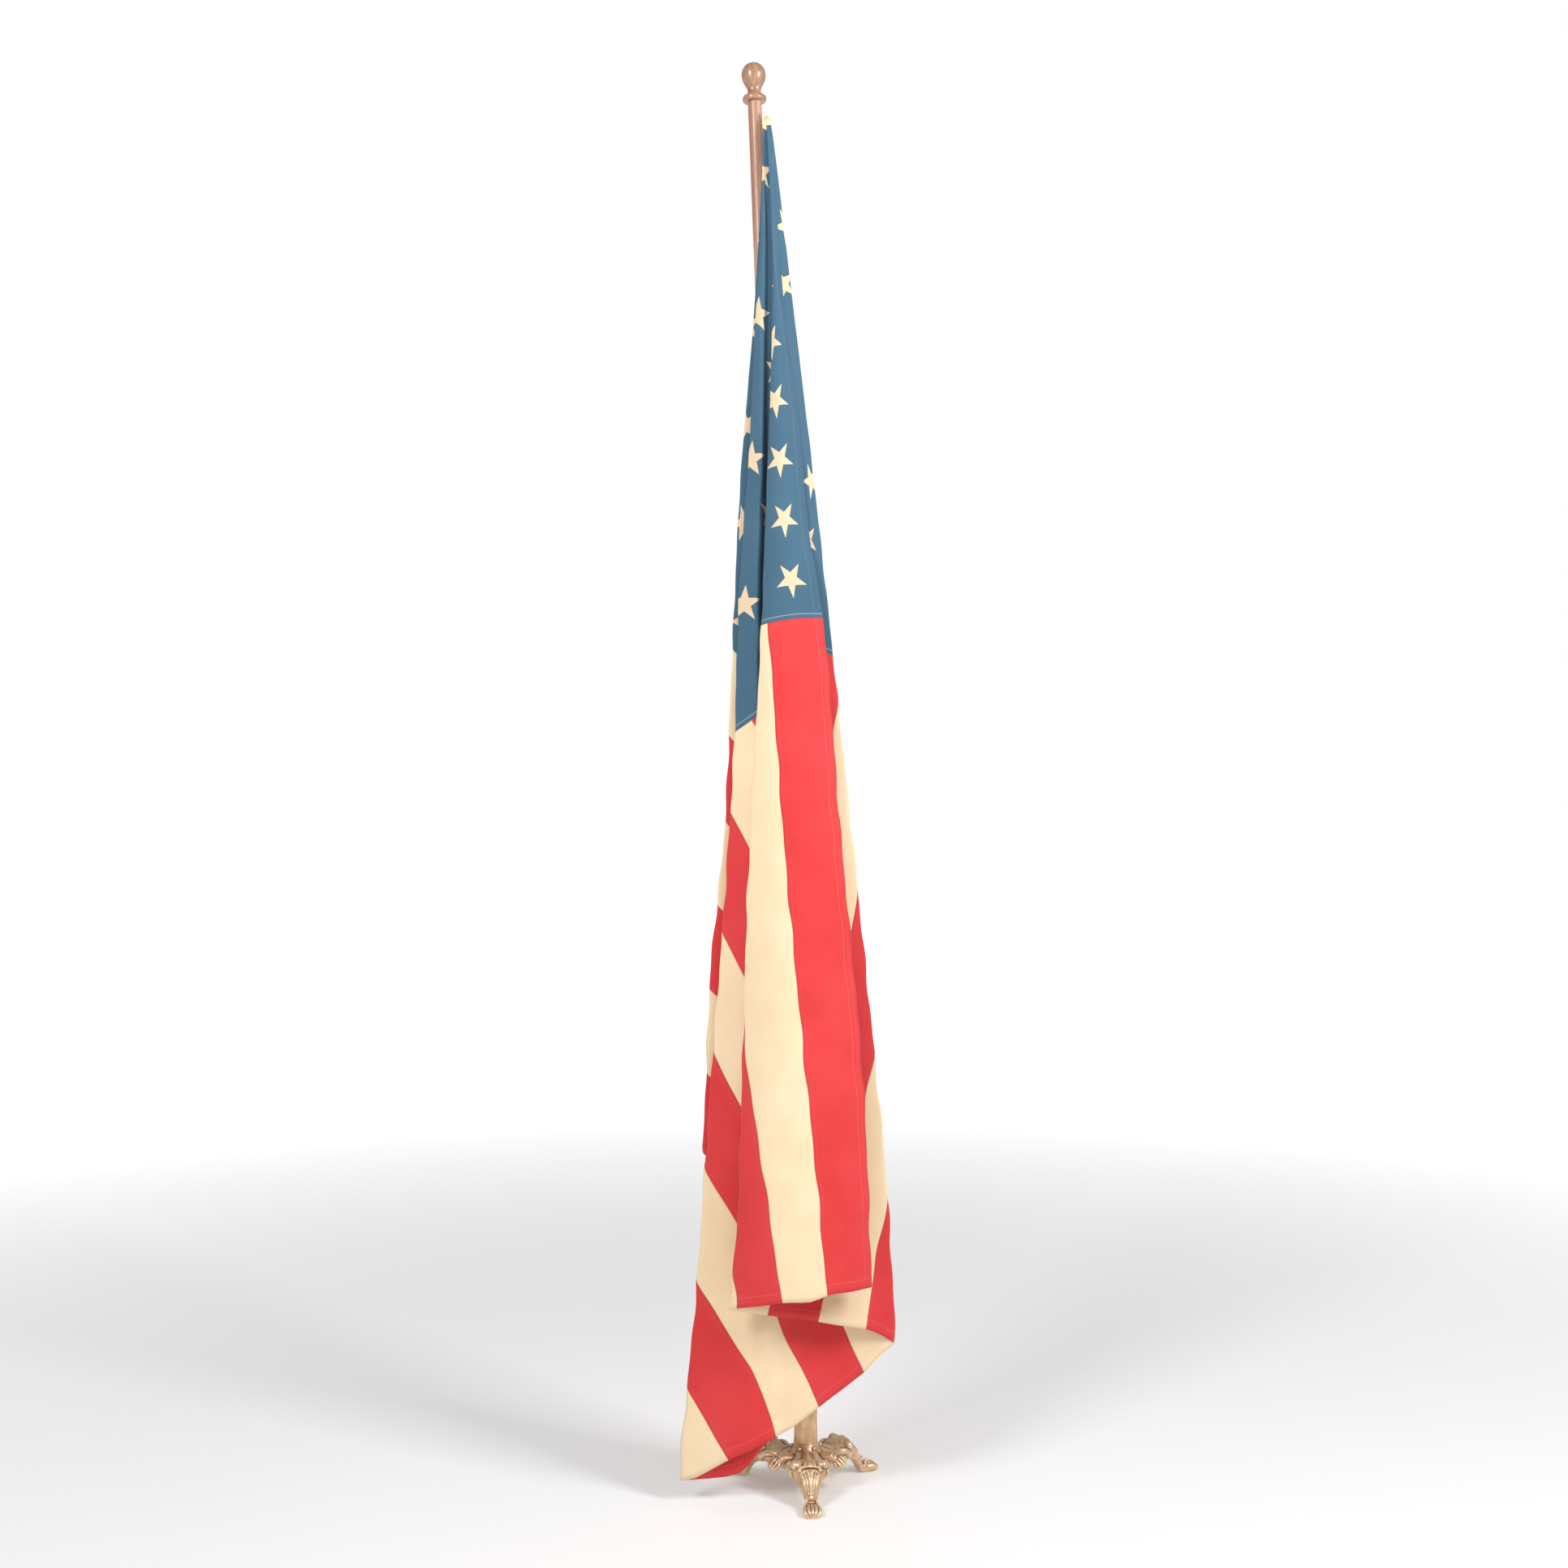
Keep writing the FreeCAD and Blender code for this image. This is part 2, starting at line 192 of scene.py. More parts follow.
def flag_material():
    """Stripes, star field and heading drawn in the cloth's own flat coordinates, u along the fly."""
    s = Shader("flag_bunting", Sheen_Weight=0.12, Sheen_Roughness=0.5, Specular_IOR_Level=0.18)
    flat = s.node("UVMap")
    flat.node.uv_map = "flat"
    split = s.tree.nodes.new("ShaderNodeSeparateXYZ")
    s.put(split.inputs[0], flat)
    u, v = split.outputs[0], split.outputs[1]

    offset = []
    for along, first, step, last in zip((u, v), STAR_FIRST, STAR_STEP, STAR_LAST):
        place = s.math("ROUND", s.math("DIVIDE", s.math("SUBTRACT", along, first), step))
        place = s.math("MINIMUM", s.math("MAXIMUM", place, 0.0), float(last))
        offset.append(s.math("SUBTRACT", along, s.math("MULTIPLY_ADD", place, step, first)))
    turn = s.math("ARCTAN2", offset[1], offset[0])
    fifth = math.radians(72)
    turn = s.math("SUBTRACT", s.math("FLOORED_MODULO", s.math("ADD", turn, fifth / 2), fifth), fifth / 2)
    reach = s.math("SQRT", s.math("ADD", s.math("POWER", offset[0], 2.0), s.math("POWER", offset[1], 2.0)))
    across = s.math("MULTIPLY", s.math("ABSOLUTE", s.math("SINE", turn)), math.sin(fifth))
    star = s.math("MULTIPLY", s.math("COSINE", turn), math.cos(fifth))
    star = s.math("MULTIPLY", reach, s.math("ADD", star, across))
    star_edge = s.math("SUBTRACT", star, STAR_R * math.cos(fifth))
    star = s.math("LESS_THAN", star_edge, 0.0)

    band = s.math("DIVIDE", v, STRIPE)
    odd = s.math("FLOORED_MODULO", s.math("FLOOR", band), 2.0)
    canton = s.math("MULTIPLY", s.math("LESS_THAN", u, CANTON_FLY), s.math("LESS_THAN", v, CANTON_DROP))
    heading = s.math("LESS_THAN", u, HEADING_BAND)

    cloud = s.noise(flat, 7.0, 4.0, 0.55)
    threads = s.noise(s.mapped(flat, (900, 60, 1)), 1.0, 2.0)
    cross_threads = s.noise(s.mapped(flat, (60, 900, 1)), 1.0, 2.0)
    weave = s.math("ADD", threads, cross_threads)
    tone = s.math("ADD", s.math("MULTIPLY", cloud, 0.7), s.math("MULTIPLY", weave, 0.15))
    red = s.mix(tone, (0.59, 0.022, 0.023), (0.80, 0.075, 0.078))
    cream = s.mix(tone, (0.84, 0.60, 0.36), (0.93, 0.77, 0.53))
    blue = s.mix(tone, (0.036, 0.094, 0.148), (0.080, 0.170, 0.250))
    stripes = s.mix(odd, red, cream)
    field = s.mix(star, blue, (0.75, 0.56, 0.37))
    colour = s.mix(canton, stripes, field)
    colour = s.mix(heading, colour, cream)

    # Felled seams between the stripes and round the field, and a double hem with its stitching.
    seam = s.math("ABSOLUTE", s.math("SUBTRACT", s.math("FRACT", s.math("ADD", band, 0.5)), 0.5))
    seam = s.math("MULTIPLY", seam, STRIPE)
    seam = s.math("MAXIMUM", seam, canton)
    fly_seam = s.math("ABSOLUTE", s.math("SUBTRACT", u, CANTON_FLY))
    fly_seam = s.math("MAXIMUM", fly_seam, s.math("GREATER_THAN", v, CANTON_DROP))
    seam = s.math("MINIMUM", seam, fly_seam)
    groove = s.math("SUBTRACT", 1.0, s.smooth(seam, 0.0, 0.0022))
    stitch_row = s.math("ABSOLUTE", s.math("SUBTRACT", seam, SEAM_STITCHES))
    stitch_row = s.math("LESS_THAN", stitch_row, 0.0007)
    hem = s.math("MINIMUM", s.math("SUBTRACT", FLY, u),
                 s.math("MINIMUM", v, s.math("SUBTRACT", HOIST, v)))
    hem_row = s.math("LESS_THAN", s.math("ABSOLUTE", s.math("SUBTRACT", hem, HEM_STITCHES)), STITCH_HALF)
    dash = s.math("GREATER_THAN", s.math("SINE", s.math("MULTIPLY", s.math("ADD", u, v), 1900.0)), -0.4)
    field_row = s.math("ABSOLUTE", s.math("SUBTRACT", u, CANTON_FLY - 0.008))
    field_row = s.math("LESS_THAN", field_row, STITCH_HALF)
    field_row = s.math("MULTIPLY", field_row, s.math("LESS_THAN", v, CANTON_DROP))
    bold = s.math("MAXIMUM", s.math("MULTIPLY", hem_row, 0.07), s.math("MULTIPLY", field_row, 0.4))
    stitches = s.math("MULTIPLY", s.math("MAXIMUM", s.math("MULTIPLY", stitch_row, 0.04), bold), dash)
    colour = s.mix(stitches, colour, (0.85, 0.80, 0.74))
    colour = s.mix(s.math("MULTIPLY", groove, 0.30), colour, (0.10, 0.05, 0.06))
    s.colour(colour)
    s.roughness(s.math("MULTIPLY_ADD", weave, 0.10, 0.74))
    height = s.math("MULTIPLY", weave, 0.35)
    height = s.math("SUBTRACT", height, s.math("MULTIPLY", groove, 1.2))
    height = s.math("SUBTRACT", height, s.math("MULTIPLY", stitches, 0.6))
    height = s.math("ADD", height, s.math("MULTIPLY", star, 0.5))
    creases = s.noise(s.mapped(flat, (13, 7, 1), (0, 0, math.radians(20))), 1.0, 3.0, 0.55)
    height = s.math("MULTIPLY_ADD", creases, 5.5, height)
    s.bump(height, 0.5, 0.0006)
    return s.material


def canvas_material():
    """Undyed canvas with a plain weave."""
    s = Shader("heading_canvas", Sheen_Weight=0.1, Specular_IOR_Level=0.2)
    place = s.node("TexCoord", 3)
    weave = s.math("ADD", s.noise(s.mapped(place, (900, 900, 120)), 1.0, 2.0),
                   s.noise(s.mapped(place, (120, 120, 900)), 1.0, 2.0))
    tone = s.math("MULTIPLY_ADD", s.noise(place, 9.0), 0.7, s.math("MULTIPLY", weave, 0.15))
    s.colour(s.mix(tone, (0.74, 0.57, 0.40), (0.88, 0.74, 0.57)))
    s.roughness(s.math("MULTIPLY_ADD", weave, 0.1, 0.74))
    s.bump(weave, 0.4, 0.0008)
    return s.material


def wood_material(name, dark, light, roughness, coat):
    """Stained, varnished wood with its grain along the leaning pole."""
    s = Shader(name, Coat_Weight=coat, Coat_Roughness=0.12, Specular_IOR_Level=0.5)
    place = s.mapped(s.node("TexCoord", 3), rotation=(0, math.radians(POLE_LEAN), 0))
    grain = s.noise(s.mapped(place, (170, 170, 5)), 1.0, 5.0, 0.6)
    pores = s.noise(s.mapped(place, (900, 900, 30)), 1.0, 2.0)
    rings = s.noise(s.mapped(place, (60, 60, 2.2)), 1.0, 2.0)
    tone = s.math("ADD", s.math("MULTIPLY", grain, 0.6), s.math("MULTIPLY", rings, 0.4))
    tone = s.smooth(tone, 0.32, 0.68)
    colour = s.mix(tone, dark, light)
    pore = s.math("LESS_THAN", pores, 0.36)
    colour = s.mix(s.math("MULTIPLY", pore, 0.35), colour, tuple(0.45 * c for c in dark))
    s.colour(colour)
    s.roughness(s.math("MULTIPLY_ADD", grain, 0.12, roughness))
    s.bump(s.math("SUBTRACT", grain, s.math("MULTIPLY", pore, 0.5)), 0.12, 0.0006)
    return s.material


def metal_material(name, dark, light, roughness):
    """Bare metal with fine marks and slight tarnish."""
    s = Shader(name, Metallic=1.0)
    place = s.node("TexCoord", 3)
    tarnish = s.noise(place, 60.0, 4.0, 0.6)
    marks = s.noise(place, 400.0, 3.0, 0.7)
    s.colour(s.mix(s.smooth(tarnish, 0.3, 0.7), dark, light))
    s.roughness(s.math("MULTIPLY_ADD", marks, 0.2, roughness))
    s.bump(marks, 0.15, 0.0003)
    return s.material


def gold_paint(name, relief):
    """Gold paint over a casting: brown in the recesses, part grime and part painted shade, and pale gold on
    the high edges, part rubbed wear and part painted highlight.
    """
    s = Shader(name, Metallic=0.55, Coat_Weight=0.15, Coat_Roughness=0.3)
    place = s.node("TexCoord", 3)
    patches = s.noise(place, 38.0, 4.0, 0.6)
    sand = s.noise(place, 620.0, 3.0, 0.6)
    tone = s.smooth(patches, 0.25, 0.75)
    colour = s.mix(tone, (0.54, 0.34, 0.185), (0.84, 0.60, 0.36))
    if relief:
        wear_and_shade = s.node("Attribute", 2)
        wear_and_shade.node.attribute_name = "wear_and_shade"
        uneven = s.math("MULTIPLY_ADD", patches, 0.5, s.math("ADD", wear_and_shade, -0.25))
        # Hollows go dark brown: part grime, part painted shade.
        colour = s.mix(s.smooth(uneven, 0.1, 0.55), (0.21, 0.10, 0.055), colour)
        # High spots go pale gold: part rubbed wear, part painted highlight.
        colour = s.mix(s.math("MULTIPLY", s.smooth(uneven, 0.6, 1.0), 0.7), colour, (0.92, 0.76, 0.54))
    s.colour(colour)
    s.roughness(s.math("MULTIPLY_ADD", sand, 0.25, 0.26))
    s.bump(s.math("MULTIPLY_ADD", sand, 0.5, patches), 0.25, 0.0006)
    return s.material


# ---- Flag ----
def curve(at, value):
    """A smooth curve through a few values, which never swings past them."""
    rise = np.diff(value) / np.diff(at)
    both = np.maximum(rise[1:] * rise[:-1], 0)
    slope = np.concatenate([rise[:1], 2 * both / (rise[1:] + rise[:-1] + 1e-12), rise[-1:]])

    def read(reach):
        i = np.clip(np.searchsorted(at, reach) - 1, 0, len(at) - 2)
        gap = at[i + 1] - at[i]
        t = np.clip((reach - at[i]) / gap, 0, 1)
        bend = t * (1 - t) * gap * ((1 - t) * slope[i] - t * slope[i + 1])
        return value[i] + (value[i + 1] - value[i]) * t * t * (3 - 2 * t) + bend

    return read


def table(*pairs):
    """A curve through sizes in millimetres at distances in millimetres, read back in metres."""
    return curve(*np.array(pairs, float).T / 1000)


def angles(*pairs):
    """A curve through angles in degrees at distances in millimetres, read back in radians."""
    at, value = np.array(pairs, float).T
    return curve(at / 1000, np.radians(value))


def line(slope, start):
    """A steady slope from a start in millimetres, read back in metres."""
    return lambda reach: slope * reach + start / 1000


def steady(degrees):
    """The same angle all the way down, read back in radians."""
    return lambda reach: 0 * reach + math.radians(degrees)


# Each key line runs down the cloth from the hoist corner. For a distance from the corner along the
# cloth, it gives the line's angle from the cloth's top edge, and its x and y from the corner.
fold_1 = table((0, 0), (300, 9), (900, -8), (1500, -37), (1800, -45), (2000, -51), (2170, -67))
fold_2 = table((0, 6), (100, 20), (300, 44), (900, 112), (1600, 184), (2000, 220), (2260, 234))
fold_3 = table((0, -6), (150, -9), (400, -24), (600, -33), (900, -54), (1200, -66), (1500, -84),
               (1900, -112), (2150, -127), (2500, -159))
fold_4 = table((0, 0), (500, 40), (1000, 95), (1500, 140), (2000, 185), (2235, 205))
fold_5 = table((0, 0), (400, -27), (700, -51), (1000, -65), (1300, -77), (1600, -105), (1930, -117))
DIAGONAL = math.degrees(math.atan2(HOIST, FLY))
angle_2 = angles((0, 13.4), (350, 13.8), (700, 18), (1000, 18.8), (1400, 19), (2000, 20.4), (2260, 21.2))
angle_3 = angles((0, 32.4), (650, 32.4), (1150, 33.4), (1800, 32.8), (2200, 32.8), (2530, 33.25))


def second_pleat(reach):
    """A share of the way from the first fold to the second, which changes down the cloth."""
    share = np.interp(reach, (0.35, 0.6, 0.85, 1.05, 1.9, 2.2), (0.60, 0.80, 0.80, 0.68, 0.72, 0.81))
    return fold_1(reach) + (fold_2(reach) - fold_1(reach)) * share


KEYS = [
    (steady(0),
     table((0, 0), (100, 13), (400, 38), (600, 62), (750, 73), (1000, 108), (1300, 130), (1850, 177),
           (2134, 187)),
     table((0, 0), (100, -12), (350, -22), (600, -36), (950, -58), (1300, -80), (1600, -100), (1850, -120),
           (2140, -142))),
    (angles((0, 5), (320, 5.3), (450, 7.9), (1700, 8.1), (2000, 9), (2150, 10)), fold_1, line(-0.056, -12)),
    (lambda r: angle_2(r) - np.interp(r, (1.5, 2.1), np.radians((3.4, 3.0))), second_pleat,
     line(-0.040, -11.4)),
    (angle_2, fold_2, line(-0.030, -11)),
    (lambda r: angle_2(r) + math.radians(2.5),
     table((0, 0), (350, 39), (750, 75), (1500, 136), (2000, 168), (2330, 176)),
     line(-0.031, -11)),
    (lambda r: angle_3(r) - np.interp(r, (2.37, 2.53), np.radians((4.6, 5.05))),
     table((0, 0), (300, 2), (700, 1), (1100, 2), (1500, 8), (2000, 16), (2450, 34)),
     table((0, 0), (300, -17), (1200, -39), (1900, -72), (2450, -86))),
    (lambda r: angle_3(r) - np.interp(r, (2.37, 2.53), np.radians((2.6, 3.05))),
     lambda r: fold_3(r) + r * np.interp(r, (1.9, 2.45), (0.044, 0.053)),
     table((0, 0), (300, -28), (700, -47), (1200, -72), (1900, -88), (2450, -94))),
    (angle_3, fold_3, line(-0.022, -9.6)),
    (steady(33.85), lambda r: 0.753 * fold_3(r) + 0.247 * fold_4(r), line(-0.0212, -9.2)),
    (steady(DIAGONAL), lambda r: 0.55 * fold_3(r) + 0.45 * fold_4(r), line(-0.0205, -8.8)),
    (steady(43.5), fold_4, line(-0.019, -8)),
    (angles((0, 57), (1000, 56), (1200, 54.4), (1800, 52.2)), fold_5, line(-0.016, -6.4)),
    (steady(62.8), table((0, 0), (500, 38), (1000, 85), (1500, 125), (1710, 140)),
     line(-0.0135, -4.8)),
    (steady(72.6), table((0, 0), (500, -18), (1000, -38), (1600, -60)), line(-0.011, -3.2)),
    (steady(82), table((0, 0), (500, 35), (1000, 72), (1540, 110)), line(-0.0075, -1.6)),
    (angles((0, 88.8), (150, 86.5), (300, 85.2), (500, 86.3), (1000, 88.2), (1524, 88.8)),
     table((0, 0), (100, 10), (400, 22), (1524, 26)), line(0, 0)),
]
# How many columns of the grid lie between one key line and the next.
COLUMNS_PER_FOLD = [28, 16, 12, 8, 14, 8, 12, 8, 8, 12, 16, 16, 14, 14, 14]
ROWS = 190
# The last rows, as shares of the way down, close enough together to thicken the hem.
HEM_SHARES = [1 - 0.0094, 1 - 0.0084, 1 - 0.0045, 1]
FOLD_ROUNDING = 0.005
# How much shorter than its length the cloth hangs near its hem, by the angle in degrees.
TUCKED = [(1, 0), (3, 0.0015), (4.5, -0.005), (6, 0), (22.5, 0), (25, -0.005), (28, -0.007), (30, 0),
          (31, 0.002), (32.5, 0.001), (33.25, 0.006), (34.5, 0.028), (35.5, 0.060), (37, 0.040), (39, 0.018),
          (43, 0)]


def smoothstep(value, low, high):
    """0 below low and 1 above high, with a smooth turn between."""
    t = np.clip((value - low) / (high - low), 0, 1)
    return t * t * (3 - 2 * t)


def between_keys(at, places, values):
    """Values read between the key lines at given angles, for whole grids at once."""
    result = values[0] + (at - places[0]) * (values[1] - values[0]) / (places[1] - places[0])
    for k in range(1, len(places) - 1):
        t = (at - places[k]) / (places[k + 1] - places[k])
        result = np.where(t > 0, values[k] + t * (values[k + 1] - values[k]), result)
    return result


def flag_points():
    """The hanging cloth on a grid of rows from the corner to the hem, with its flat places."""
    share = []
    for fold, count in enumerate(COLUMNS_PER_FOLD):
        t = np.arange(count) / count
        share.append(fold + t - np.sin(2 * np.pi * t) / (2 * np.pi) * 0.75)
    share = np.concatenate(share + [[len(KEYS) - 1]])
    low_key = np.minimum(share.astype(int), len(KEYS) - 2)
    part = share - low_key
    rows = np.concatenate([np.linspace(0.006, 1 - 0.0125, ROWS), HEM_SHARES])
    reach = np.tile(rows[:, None] * 2.0, (1, len(share)))
    columns = np.arange(len(share))
    for _ in range(30):
        key_angles = np.stack([angle(reach) for angle, _, _ in KEYS])
        start = key_angles[low_key, :, columns].T
        end = key_angles[low_key + 1, :, columns].T
        angle = start + part * (end - start)
        longest = np.minimum(FLY / np.maximum(np.cos(angle), 1e-6), HOIST / np.maximum(np.sin(angle), 1e-6))
        reach = reach + 0.7 * (rows[:, None] * longest - reach)
    key_x = np.stack([right(reach) for _, right, _ in KEYS])
    key_y = np.stack([back(reach) for _, _, back in KEYS])
    spread = np.minimum(FOLD_ROUNDING / reach, math.radians(0.9))
    steps = np.linspace(-2, 2, 9)
    weights = np.exp(-0.5 * steps ** 2)
    weights /= weights.sum()
    x, y = np.zeros_like(reach), np.zeros_like(reach)
    for step, weight in zip(steps, weights):
        near = angle + step * spread
        x += weight * between_keys(near, key_angles, key_x)
        y += weight * between_keys(near, key_angles, key_y)
    y *= np.minimum(1, reach / 0.06)
    # Under the front panel's hem the cloth behind flares forward.
    degrees = np.degrees(angle)
    flare = np.exp(-((degrees - 16.6) / 2.0) ** 2)
    flare += 0.35 * np.exp(-((degrees - 12.5) / 1.2) ** 2)
    y -= 0.017 * flare * smoothstep(rows[:, None] * np.ones_like(y), 0.966, 1.0)

    shorter = 0.014 * smoothstep(-degrees, -16, -9) * (1 - smoothstep(reach, 1.1, 2.1))
    shorter += 0.016 * smoothstep(degrees, 10, 20) * smoothstep(reach, 1.2, 2.4)
    at, tucked = np.array(TUCKED).T
    shorter += np.interp(degrees, at, tucked) * smoothstep(reach, 1.7, 2.5)
    across = np.clip(angle / key_angles[1], 0, 1)
    y -= 4 * across * (1 - across) * 0.028 * reach
    z = -np.sqrt(np.maximum((reach * (1 - shorter)) ** 2 - x ** 2 - y ** 2, 1e-8))
    # Long soft waves, the same for every layer at one place, so that layers stay apart.
    soft = smoothstep(-z, 0.2, 1.4)
    y += soft * (0.004 * np.sin(14 * x + 3.1 * z + 0.6) + 0.003 * np.sin(23 * x - 6.3 * z))
    # Each fold edge wanders a little from side to side.
    x += soft * (0.0010 * np.sin(41 * z + 6 * angle) + 0.0009 * np.sin(67 * z - 9 * angle + 1.7))
    u, v = reach * np.cos(angle), reach * np.sin(angle)
    creased = np.sin(52 * u + 17 * v + 0.4) * np.sin(31 * v - 9 * u + 1.1)
    creased += 0.8 * np.sin(83 * u - 46 * v + 2.0) * np.sin(24 * u + 37 * v)
    # Short creases, only in the layers that face forward, and fading out at the free edge.
    front_layers = 1 - smoothstep(degrees, 5, 7)
    front_layers += smoothstep(degrees, 25, 28) * (1 - smoothstep(degrees, 30.5, 32))
    at_edge = 1 - smoothstep(degrees, 0.3, 3.0)
    y += smoothstep(reach, 0.5, 1.7) * front_layers * 0.0026 * creased * (1 - 0.7 * at_edge)
    return rows, x, y, z, u, v


def mesh_object(name, points, faces, material):
    mesh = bpy.data.meshes.new(name)
    mesh.from_pydata([tuple(p) for p in points], [], faces)
    mesh.materials.append(material)
    mesh.polygons.foreach_set("use_smooth", [True] * len(mesh.polygons))
    mesh.validate()
    obj = bpy.data.objects.new(name, mesh)
    bpy.context.scene.collection.objects.link(obj)
    return obj


def grid_faces(rows, columns, closed=False):
    """Four-sided faces over a grid of points, with its last column joined to its first if closed."""
    faces = []
    wide = columns if closed else columns - 1
    for i in range(rows - 1):
        for j in range(wide):
            k = (j + 1) % columns
            faces.append((i * columns + j, i * columns + k, (i + 1) * columns + k, (i + 1) * columns + j))
    return faces


def add_flag(material):
    """The flag as one sheet, thicker along its hem, with its flat places as a UV map."""
    rows, x, y, z, u, v = flag_points()
    count = x.shape[1]
    points = np.stack([x, y, z], -1).reshape(-1, 3) + CORNER
    flag = mesh_object("flag_bunting", points, grid_faces(len(rows), count), material)
    layer = flag.data.uv_layers.new(name="flat")
    flat = np.stack([u, v], -1).reshape(-1, 2)
    loops = np.zeros(len(flag.data.loops), int)
    flag.data.loops.foreach_get("vertex_index", loops)
    layer.data.foreach_set("uv", flat[loops].ravel().astype(np.float32))
    hem = flag.vertex_groups.new(name="hem")
    hem_rows = [i for i, f in enumerate(rows) if f > 1 - 0.009]
    hem.add([int(i) for i in range(len(points))], 0.35, "REPLACE")
    hem.add([i * count + j for i in hem_rows for j in range(count)], 1.0, "REPLACE")
    thick = flag.modifiers.new("thickness", "SOLIDIFY")
    thick.thickness = 0.0022
    thick.offset = 0
    thick.vertex_group = "hem"
    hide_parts("flag_cloth")
    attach(flag, "upper_section")


# The heading's width at distances down from its top.
HEADING_TAPER = (0, 0.003, 0.010, 0.050, 0.127, 0.165), (0.004, 0.0085, 0.0125, 0.019, 0.028, 0.032)


def add_heading(material):
    """The canvas tape along the hoist, hanging plumb, drawn in and rounded at its upper corner."""
    low, high = heading_low, heading_high
    rows, columns = 160, 9
    points = []
    for i in range(rows):
        down = (i / (rows - 1)) ** 1.5 * (high.z - low.z)
        wide = np.interp(down, *HEADING_TAPER)
        for j in range(columns):
            across = j / (columns - 1)
            slant = 0.006 * across ** 2 * max(0, 1 - down / 0.05)
            wave = 0.0005 * math.sin(18 * down) * math.sin(across * math.pi)
            points.append((low.x + across * wide, (low.y + high.y) / 2 + wave, high.z - down - slant))
    tape = mesh_object("flag_heading_tape", points, grid_faces(rows, columns), material)
    thick = tape.modifiers.new("thickness", "SOLIDIFY")
    thick.thickness = high.y - low.y
    thick.offset = 0
    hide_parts("flag_heading")
    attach(tape, "upper_section")


# ---- Castings: the legs and the hub ----
LEG_DEGREES = {"leg_front": -86, "leg_right": 34, "leg_left": 154}
DROP_DEGREES = (-26, 94, -146)
# Sections down a leg, in millimetres: the outer point of the profile (radius, height), the inner
# point, and half the width across.
LEG_SECTIONS = np.array([
    (46, 61, 46, 37, 28), (54, 64, 54, 37, 31), (62, 68, 62, 37, 33), (74, 73.5, 70, 36, 34),
    (84, 73, 80, 34, 31), (93, 66, 88, 32.5, 26), (102, 57, 95, 30, 21.5), (111, 48, 103, 25, 17.8),
    (117, 37, 109, 19, 14.5), (121, 28, 115, 11, 12.4), (125, 21, 118, 4.5, 11.8),
    (132, 18, 123, 0.6, 13.2), (140, 18.3, 134, 0.4, 16.2), (149, 17, 147, 0.4, 17.8),
    (156, 12.5, 154.5, 0.4, 16), (159.5, 6.5, 158.5, 0.4, 11.5), (160.6, 2.4, 160, 0.6, 8),
]) / 1000
# About how far along the outer profile each section is, in millimetres.
LEG_ARCS = (46, 54.6, 63.4, 76.5, 86.6, 98, 110.6, 123.6, 136, 146, 154, 161.5, 169.5, 178.6, 187, 194, 198.5)
CASTING_VOXEL = 0.0008


def curve_through(values, at):
    """A smooth curve through equally spaced values."""
    count = len(values)
    i = np.clip(at.astype(int), 0, count - 2)
    t = (at - i)[:, None]
    before, after = values[np.maximum(i - 1, 0)], values[np.minimum(i + 2, count - 1)]
    a, b = values[i], values[i + 1]
    slope_a, slope_b = (b - before) / 2, (after - a) / 2
    return ((2 * t ** 3 - 3 * t ** 2 + 1) * a + (t ** 3 - 2 * t ** 2 + t) * slope_a
            + (3 * t ** 2 - 2 * t ** 3) * b + (t ** 3 - t ** 2) * slope_b)


def soft_step(value, edge, width):
    """1 well below the edge and 0 well above it."""
    return 1 - smoothstep(value, edge - width / 2, edge + width / 2)


